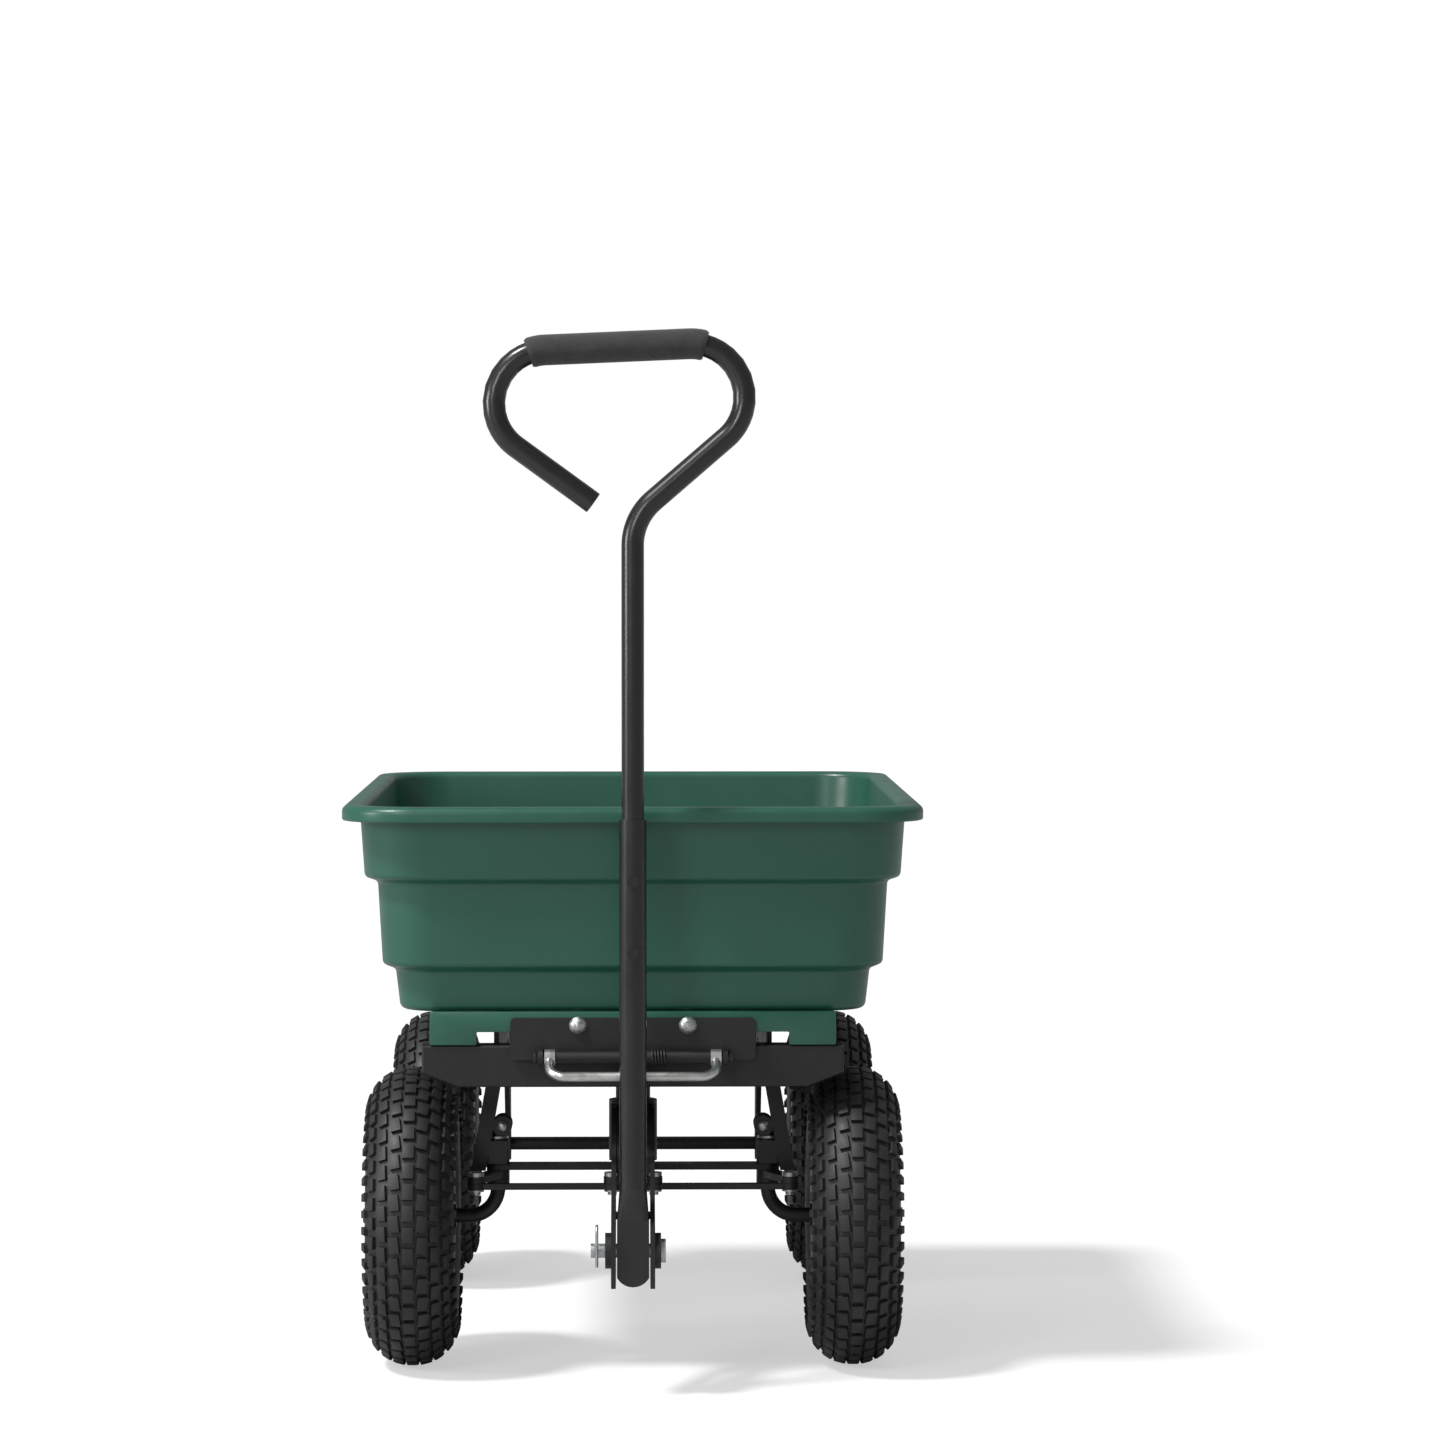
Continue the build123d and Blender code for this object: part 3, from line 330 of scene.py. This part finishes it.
def buildTub(name):
    s = tubSet
    low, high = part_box("tub")
    top = high[2]
    halfX, halfY = (high[0] - low[0]) / 2, (high[1] - low[1]) / 2
    centre = ((high[0] + low[0]) / 2, (high[1] + low[1]) / 2)
    levels = [level * mm for level in s["levels"]]
    over, wall, draft, ledge = s["overhang"], s["wall"], s["draft"], s["ledge"]
    deep = over + 3 * draft + 2 * ledge
    outer = [
        (deep + s["floorStart"], levels[4]),
        (deep, levels[4]),
        (over + 2 * draft + 2 * ledge, levels[3]),
        (over + 2 * draft + ledge, levels[2]),
        (over + draft + ledge, levels[1]),
        (over + draft, levels[0]),
        (over, top - s["lipInside"]),
        (wall, top - s["lipInside"]),
        (wall, top - s["lipHeight"]),
        (0, top - s["lipHeight"]),
        (0, top),
        (over + wall, top),
    ]
    inner = [
        (over + wall + draft, levels[0] + wall),
        (over + wall + draft + ledge, levels[1] + wall),
        (over + wall + 2 * draft + ledge, levels[2] + wall),
        (over + wall + 2 * draft + 2 * ledge, levels[3] + wall),
        (deep + wall, levels[4] + wall),
        (deep + wall + s["floorStart"], levels[4] + wall),
    ]
    soft, lip = s["softEdge"], s["lipRound"]
    underLip = (4 * mm, 2 * mm, 1.2 * mm)
    radii = [s["footRound"], *[soft] * 4, *underLip, lip * 0.8, lip, lip, *[soft] * 4, s["bedRound"]]
    profile = roundedCorners([(x, z) for x, z in outer + inner], radii[: len(outer + inner) - 2])
    rings = []
    for inset, z in profile:
        corner = max(s["corner"] - inset / 2, s["tightCorner"])
        rings.append(roundedRing(halfX - inset, halfY - inset, corner, centre, z))
    form = bmesh.new()
    made = skin(form, rings)
    form.faces.new(list(reversed(made[0])))
    form.faces.new(made[-1])
    return meshFrom(name, form)


def boxForm(form, low, high):
    xs, ys, zs = zip(low, high)
    v = [form.verts.new((x, y, z)) for x in xs for y in ys for z in zs]
    sides = ((0, 1, 3, 2), (4, 6, 7, 5), (0, 4, 5, 1), (2, 3, 7, 6), (0, 2, 6, 4), (1, 5, 7, 3))
    for corners in sides:
        form.faces.new([v[i] for i in corners])


def bevelled(form, width, segments=2, angle=math.radians(30)):
    # Rounds every edge that turns by more than the angle.
    bmesh.ops.recalc_face_normals(form, faces=form.faces)
    edges = [e for e in form.edges if len(e.link_faces) == 2 and e.calc_face_angle(0) > angle]
    bmesh.ops.bevel(form, geom=edges, offset=width, segments=segments, profile=0.6, affect="EDGES")


def prism(form, outline, nearY, farY):
    # Extrudes an outline of (x, z) pairs from the first Y to the second.
    near = [form.verts.new((x, nearY, z)) for x, z in outline]
    far = [form.verts.new((x, farY, z)) for x, z in outline]
    count = len(outline)
    form.faces.new(near)
    form.faces.new(list(reversed(far)))
    for i in range(count):
        j = (i + 1) % count
        form.faces.new((near[i], far[i], far[j], near[j]))


addPiece("tubShell", buildTub("tubShell"), "tub", ["tub"], "tub_plastic", 40)

feetSet = {
    "skirtHalf": 174 * mm,
    "skirtDeep": 8 * mm,
    "bottom": 299.5 * mm,
    "footInner": 134 * mm,
    "intoFloor": 1 * mm,
    "ahead": 2 * mm,
    "seatGap": 0.3 * mm,
    "runnerHalf": 6 * mm,
    "railHalf": 2.25 * mm,
    "runnerEnds": 30 * mm,
    "edge": 1.2 * mm,
}


def buildSkirt(name):
    # The front skirt on its two feet, and a runner over each side rail.
    s = feetSet
    memberLow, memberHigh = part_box("front_cross_member")
    floorLevel = tubSet["levels"][-1] * mm + s["intoFloor"]
    front = memberLow[1] - s["ahead"]
    footLevel = memberHigh[2] + s["seatGap"]
    form = bmesh.new()
    outline = [
        (-s["skirtHalf"], floorLevel),
        (-s["skirtHalf"], footLevel),
        (-s["footInner"], footLevel),
        (-s["footInner"], s["bottom"]),
        (s["footInner"], s["bottom"]),
        (s["footInner"], footLevel),
        (s["skirtHalf"], footLevel),
        (s["skirtHalf"], floorLevel),
    ]
    prism(form, outline, front, front + s["skirtDeep"])
    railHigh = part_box("side_rails")[1]
    backY = joints["tub_tip"]["pos_m"][1] - s["runnerEnds"]
    for side in (-1, 1):
        x = side * (railHigh[0] - s["railHalf"])
        low = (x - s["runnerHalf"], front + s["runnerEnds"], railHigh[2] + s["seatGap"])
        boxForm(form, low, (x + s["runnerHalf"], backY, floorLevel))
    bevelled(form, s["edge"])
    return meshFrom(name, form)


addPiece("tubSkirt", buildSkirt("tubSkirt"), "tub", [], "tub_plastic")
print("tub")

# ---- handle


def sweptRings(path, radii, steps=40):
    # Rings square to a path, carried along it without twist.
    points = [Vector(point) for point in path]
    rings = []
    side = None
    for i, here in enumerate(points):
        before, after = points[max(i - 1, 0)], points[min(i + 1, len(points) - 1)]
        along = (after - before).normalized()
        if side is None:
            side = Vector((0, 1, 0)).cross(along).normalized()
        side = (side - along * side.dot(along)).normalized()
        other = along.cross(side)
        turns = [math.tau * k / steps for k in range(steps)]
        rings.append([here + (side * math.cos(t) + other * math.sin(t)) * radii[i] for t in turns])
    return rings


handleSet = {
    "lean": math.radians(2),
    "tube": 9.5 * mm,
    "tubeStart": 322 * mm,
    "wall": 1.7 * mm,
    "loop": ((0, 615), (176.5, 767.5), (-202, 751), (-33, 628)),
    "bends": (50, 45, 45),
    "bendSteps": 22,
    "grip": 13 * mm,
    "gripWrap": 18.5,
    "gripStep": 3 * mm,
    "gripEndEase": (0.09, 1.6 * mm),
    "gripFit": 0.05 * mm,
}


def onHandle(across, up):
    pivot = Vector(joints["handle_drop"]["pos_m"])
    lean = handleSet["lean"]
    return pivot + Vector((across, math.sin(lean) * up, math.cos(lean) * up))


def handlePath():
    s = handleSet
    corners = [Vector((x * mm, z * mm)) for x, z in s["loop"]]
    corners = [Vector((0, s["tubeStart"])), *corners]
    return roundedCorners(corners, [r * mm for r in s["bends"]], s["bendSteps"], 0.9)


def tubeMesh(name, path, radii, wall):
    # An open tube along a path, with one outer radius for each of its points.
    form = bmesh.new()
    outer = sweptRings(path, radii)
    inner = sweptRings(path, [radius - wall for radius in radii])
    made = skin(form, [*outer, *reversed(inner)])
    joinEnds(form, made)
    return meshFrom(name, form)


loopPath = handlePath()
upperPath = [onHandle(point.x, point.y) for point in loopPath]
tubeRadii = [handleSet["tube"]] * len(upperPath)
upperMesh = tubeMesh("handleTube", upperPath, tubeRadii, handleSet["wall"])
addPiece("handleTube", upperMesh, "handle", ["handle_upper"], "handle_enamel")


def gripPath():
    # The straight top of the loop and a short way round the bend at each end.
    s = handleSet
    right, left = Vector(s["loop"][1]) * mm, Vector(s["loop"][2]) * mm
    along = (right - left).normalized()
    points = []
    beyondLeft, beyondRight = Vector(s["loop"][3]) * mm, Vector(s["loop"][0]) * mm
    bend = s["bends"][1] * mm
    for corner, beyond, way in ((left, beyondLeft, 1), (right, beyondRight, -1)):
        toNext = (beyond - corner).normalized()
        half = toNext.angle(along * way) / 2
        start = corner + along * way * (bend / math.tan(half))
        normal = Vector((along.y, -along.x))
        centre = start + normal * bend
        wrap = [math.radians(s["gripWrap"]) * k / 6 for k in range(7)]
        arc = []
        for t in wrap:
            arc.append(centre - normal * bend * math.cos(t) - along * way * bend * math.sin(t))
        points += list(reversed(arc)) if way == 1 else arc
    return points


def buildGrip(name):
    s = handleSet
    path = gripPath()
    fine = []
    for a, b in zip(path, path[1:]):
        steps = max(1, round((b - a).length / s["gripStep"]))
        fine += [a.lerp(b, k / steps) for k in range(steps)]
    fine.append(path[-1])
    spots = [onHandle(point.x, point.y) for point in fine]
    count = len(spots)
    shrink, fade = s["gripEndEase"]
    radius = []
    for i in range(count):
        end = min(i, count - 1 - i) * s["gripStep"]
        radius.append(s["grip"] * (1 - shrink * math.exp(-((end / fade) ** 2))))
    return tubeMesh(name, spots, radius, s["grip"] - s["tube"] - s["gripFit"])


addPiece("foamGrip", buildGrip("foamGrip"), "handle", ["grip"], "grip_foam", 50)
print("handle")

# ---- tyres

tyreSet = {
    "radius": 129.9 * mm,
    "halfWidth": 38.4 * mm,
    "blockHeight": 3.4 * mm,
    "around": 44,
    "crownShare": 0.3,
    "crownPower": 2.2,
    "turns": 120,
    # Distance from the middle plane and radius, from the shoulder in to the bead
    "sidewall": (
        (38.2, 91), (37.8, 84), (36.2, 76), (33.2, 69), (29.8, 64),
        (28.5, 60), (28.5, 54), (25.5, 50.6), (19, 50.5),
    ),
    # The same from the bead out to the crown, along the inside
    "inside": ((22, 64), (31, 75), (34.4, 88), (32.5, 101), (27, 110), (16, 116.5), (0, 118.6)),
}


def crownDrop(a):
    # How far the tread surface falls below its crown at a distance a from the middle.
    s = tyreSet
    t = min(abs(a) / s["halfWidth"], 1)
    return s["radius"] * s["crownShare"] * (1 - (1 - t ** s["crownPower"]) ** 0.5)


def tyreSection():
    s = tyreSet
    base = s["radius"] - s["blockHeight"]
    points = []
    for k in range(-16, 17):
        a = s["halfWidth"] * 0.96 * math.sin(math.radians(90 * k / 16))
        points.append((a, base - crownDrop(a) * 0.94))
    rightSide = [(a * mm, r * mm) for a, r in s["sidewall"]]
    rightInner = [(a * mm, r * mm) for a, r in s["inside"]]
    outline = points + rightSide + rightInner
    outline += [(-a, r) for a, r in reversed(rightInner[:-1])]
    outline += [(-a, r) for a, r in reversed(rightSide)]
    return outline


def treadBlock():
    # One rubber block of unit size, rooted below z = 0, with its top edges eased.
    form = bmesh.new()
    boxForm(form, (-0.5, -0.5, -0.6), (0.5, 0.5, 1))
    mesh = bpy.data.meshes.new("treadBlock")
    bmesh.ops.recalc_face_normals(form, faces=form.faces)
    topEdges = [e for e in form.edges if all(v.co.z > 0.9 for v in e.verts)]
    bmesh.ops.bevel(form, geom=topEdges, offset=0.12, segments=1, affect="EDGES")
    form.to_mesh(mesh)
    form.free()
    return mesh


def treadTree():
    # Rows of blocks laid round the tyre: each row steps half a block from its neighbour.
    tree = bpy.data.node_groups.new("treadRows", "GeometryNodeTree")
    face = tree.interface
    face.new_socket("Geometry", in_out="INPUT", socket_type="NodeSocketGeometry")
    for label, kind in (
        ("Row Offset", "NodeSocketFloat"),
        ("Row Radius", "NodeSocketFloat"),
        ("Row Tilt", "NodeSocketFloat"),
        ("Stagger", "NodeSocketFloat"),
        ("Around", "NodeSocketInt"),
        ("Block Size", "NodeSocketVector"),
        ("Skew", "NodeSocketFloat"),
        ("Finish", "NodeSocketMaterial"),
    ):
        face.new_socket(label, in_out="INPUT", socket_type=kind)
    face.new_socket("Geometry", in_out="OUTPUT", socket_type="NodeSocketGeometry")
    link = tree.links.new
    given = addNode(tree, "NodeGroupInput")
    result = addNode(tree, "NodeGroupOutput")
    points = addNode(tree, "GeometryNodePoints")
    link(given.outputs["Around"], points.inputs["Count"])
    index = addNode(tree, "GeometryNodeInputIndex")

    def combine(operation, a, b):
        node = addNode(tree, "ShaderNodeMath", operation=operation)
        for socket, value in zip(node.inputs, (a, b)):
            if value is None:
                continue
            if isinstance(value, (int, float)):
                socket.default_value = value
            else:
                link(value, socket)
        return node.outputs[0]

    turn = combine("ADD", index.outputs[0], given.outputs["Stagger"])
    angle = combine("DIVIDE", combine("MULTIPLY", turn, math.tau), given.outputs["Around"])
    place = addNode(tree, "ShaderNodeCombineXYZ")
    link(given.outputs["Row Offset"], place.inputs["X"])
    sine = combine("SINE", angle, None)
    link(combine("MULTIPLY", combine("MULTIPLY", sine, -1), given.outputs["Row Radius"]), place.inputs["Y"])
    link(combine("MULTIPLY", combine("COSINE", angle, None), given.outputs["Row Radius"]), place.inputs["Z"])
    link(place.outputs[0], points.inputs["Position"])
    tilt = addNode(tree, "ShaderNodeCombineXYZ")
    link(given.outputs["Row Tilt"], tilt.inputs["Y"])
    spin = addNode(tree, "ShaderNodeCombineXYZ")
    link(angle, spin.inputs["X"])
    twist = addNode(tree, "ShaderNodeCombineXYZ")
    link(given.outputs["Skew"], twist.inputs["Z"])
    turned = None
    for source in (twist, tilt, spin):
        euler = addNode(tree, "FunctionNodeEulerToRotation")
        link(source.outputs[0], euler.inputs[0])
        if turned is None:
            turned = euler.outputs[0]
            continue
        rotate = addNode(tree, "FunctionNodeRotateRotation", rotation_space="GLOBAL")
        link(turned, rotate.inputs["Rotation"])
        link(euler.outputs[0], rotate.inputs["Rotate By"])
        turned = rotate.outputs[0]
    lay = addNode(tree, "GeometryNodeInstanceOnPoints")
    link(points.outputs[0], lay.inputs["Points"])
    link(given.outputs["Geometry"], lay.inputs["Instance"])
    link(turned, lay.inputs["Rotation"])
    link(given.outputs["Block Size"], lay.inputs["Scale"])
    real = addNode(tree, "GeometryNodeRealizeInstances")
    link(lay.outputs[0], real.inputs[0])
    paint = addNode(tree, "GeometryNodeSetMaterial")
    link(real.outputs[0], paint.inputs["Geometry"])
    link(given.outputs["Finish"], paint.inputs["Material"])
    link(paint.outputs[0], result.inputs[0])
    return tree


def grown(tree, source, values):
    # Runs a tree on a mesh and returns the plain mesh it makes.
    holder = bpy.data.objects.new("holder", source.copy())
    bpy.context.scene.collection.objects.link(holder)
    modifier = holder.modifiers.new("grow", "NODES")
    modifier.node_group = tree
    for item in tree.interface.items_tree:
        if item.item_type == "SOCKET" and item.in_out == "INPUT" and item.name in values:
            modifier[item.identifier] = values[item.name]
    ready = holder.evaluated_get(bpy.context.evaluated_depsgraph_get())
    mesh = bpy.data.meshes.new_from_object(ready)
    holder.modifiers.remove(modifier)
    bpy.data.objects.remove(holder)
    return mesh


treadRows = [
    # Offset from the middle, block size across and round, stagger, skew
    (0, 9.4, 13.4, 0.0, 0.0),
    (-11.2, 8.6, 13.8, 0.5, 0.12),
    (11.2, 8.6, 13.8, 0.5, -0.12),
    (-21.4, 8.2, 12.6, 0.0, 0.06),
    (21.4, 8.2, 12.6, 0.0, -0.06),
    (-30.2, 7.4, 10.4, 0.5, 0.0),
    (30.2, 7.4, 10.4, 0.5, 0.0),
    (-36.4, 9.5, 6.6, 0.0, 0.0),
    (36.4, 9.5, 6.6, 0.0, 0.0),
]


def buildTyre(wheel, tree, block):
    s = tyreSet
    centre = Vector(joints["wheel_spin_" + wheel]["pos_m"])
    form = bmesh.new()
    section = tyreSection()
    rings = []
    for k in range(s["turns"]):
        angle = math.tau * k / s["turns"]
        rings.append([(a, -r * math.sin(angle), r * math.cos(angle)) for a, r in section])
    joinEnds(form, skin(form, rings))
    bmesh.ops.recalc_face_normals(form, faces=form.faces)
    base = s["radius"] - s["blockHeight"]
    for offset, across, around, stagger, skew in treadRows:
        a = offset * mm
        step = 0.5 * mm
        slope = (crownDrop(a + step) - crownDrop(a - step)) / (2 * step)
        values = {
            "Row Offset": a,
            "Row Radius": base - crownDrop(a) * 0.97,
            "Row Tilt": math.atan(slope),
            "Stagger": stagger,
            "Around": s["around"],
            "Block Size": (across * mm, around * mm, s["blockHeight"]),
            "Skew": skew,
            "Finish": finishes["tyre_rubber"],
        }
        row = grown(tree, block, values)
        form.from_mesh(row)
        bpy.data.meshes.remove(row)
    for vertex in form.verts:
        vertex.co += centre
    mesh = bpy.data.meshes.new("tyreBody_" + wheel)
    form.to_mesh(mesh)
    form.free()
    return mesh


treadTreeMade, blockMade = treadTree(), treadBlock()
for wheel in wheels:
    tyreMesh = buildTyre(wheel, treadTreeMade, blockMade)
    tyreMesh.materials.clear()
    tyreMesh.materials.append(finishes["tyre_rubber"])
    addPiece("tyreBody_" + wheel, tyreMesh, "wheel_" + wheel, ["tyre_" + wheel], "tyre_rubber", 32)
print("tyres")

# ---- floor, light and camera

studioSet = {
    "cameraDistance": 4.40,
    "cameraHeight": 0.710,
    "lens": 125.6,
    "pitch": 1.93,
    "yaw": -1.02,
    "skyPower": 0.3,
    "floorHalf": 30,
    "floorGlow": 0.52,
    "lightTarget": (0, 0, 0.3),
    "lights": (
        ("keySun", "SUN", (-1.65, -0.95, 3.3), 0.16, 2.8),
        ("softFront", "AREA", (-1.6, -3.6, 1.9), 0.9, 26),
        ("leftStrip", "AREA", (-2.6, -1.2, 1.1), 0.8, 26),
    ),
}


def cameraOnly(tree):
    # One for rays from the camera, and nought for all others.
    return addNode(tree, "ShaderNodeLightPath").outputs["Is Camera Ray"]


def buildFloor():
    half = studioSet["floorHalf"]
    mesh = bpy.data.meshes.new("studioFloor")
    form = bmesh.new()
    corners = ((-half, -half, 0), (half, -half, 0), (half, half, 0), (-half, half, 0))
    form.faces.new([form.verts.new(corner) for corner in corners])
    form.to_mesh(mesh)
    form.free()
    floor = bpy.data.objects.new("studioFloor", mesh)
    bpy.context.scene.collection.objects.link(floor)
    material, tree, shader = newMaterial("floorPaper")
    shader.inputs["Base Color"].default_value = (0.5, 0.5, 0.5, 1)
    shader.inputs["Roughness"].default_value = 0.8
    shader.inputs["Specular IOR Level"].default_value = 0.1
    shader.inputs["Emission Color"].default_value = (1, 1, 1, 1)
    glow = addNode(tree, "ShaderNodeMath", operation="MULTIPLY")
    tree.links.new(cameraOnly(tree), glow.inputs[0])
    glow.inputs[1].default_value = studioSet["floorGlow"]
    tree.links.new(glow.outputs[0], shader.inputs["Emission Strength"])
    mesh.materials.append(material)


def buildWorld():
    # A soft sky for light, which the camera sees as plain white.
    world = bpy.data.worlds.new("studioWorld")
    world.use_nodes = True
    tree = world.node_tree
    sky = tree.nodes["Background"]
    sky.inputs["Color"].default_value = (1, 1, 1, 1)
    sky.inputs["Strength"].default_value = studioSet["skyPower"]
    paper = addNode(tree, "ShaderNodeBackground")
    paper.inputs["Color"].default_value = (1, 1, 1, 1)
    mixed = addNode(tree, "ShaderNodeMixShader")
    tree.links.new(cameraOnly(tree), mixed.inputs[0])
    tree.links.new(sky.outputs[0], mixed.inputs[1])
    tree.links.new(paper.outputs[0], mixed.inputs[2])
    tree.links.new(mixed.outputs[0], tree.nodes["World Output"].inputs[0])
    bpy.context.scene.world = world


def buildLights():
    target = Vector(studioSet["lightTarget"])
    for label, kind, place, size, power in studioSet["lights"]:
        light = bpy.data.lights.new(label, kind)
        light.energy = power
        if kind == "SUN":
            light.angle = size
        else:
            light.size = size
        lamp = bpy.data.objects.new(label, light)
        lamp.location = place
        lamp.rotation_euler = (target - Vector(place)).to_track_quat("-Z", "Y").to_euler()
        bpy.context.scene.collection.objects.link(lamp)


def buildCamera():
    s = studioSet
    frontY = joints["knuckle_steer_left"]["pos_m"][1]
    camera = bpy.data.cameras.new("studioCamera")
    camera.lens = s["lens"]
    camera.sensor_width = 36
    rig = bpy.data.objects.new("studioCamera", camera)
    rig.location = (0, frontY - s["cameraDistance"], s["cameraHeight"])
    rig.rotation_euler = (math.radians(90 - s["pitch"]), 0, math.radians(s["yaw"]))
    bpy.context.scene.collection.objects.link(rig)
    bpy.context.scene.camera = rig


buildFloor()
buildWorld()
buildLights()
buildCamera()
bpy.context.scene.view_settings.view_transform = "Standard"
print("studio")
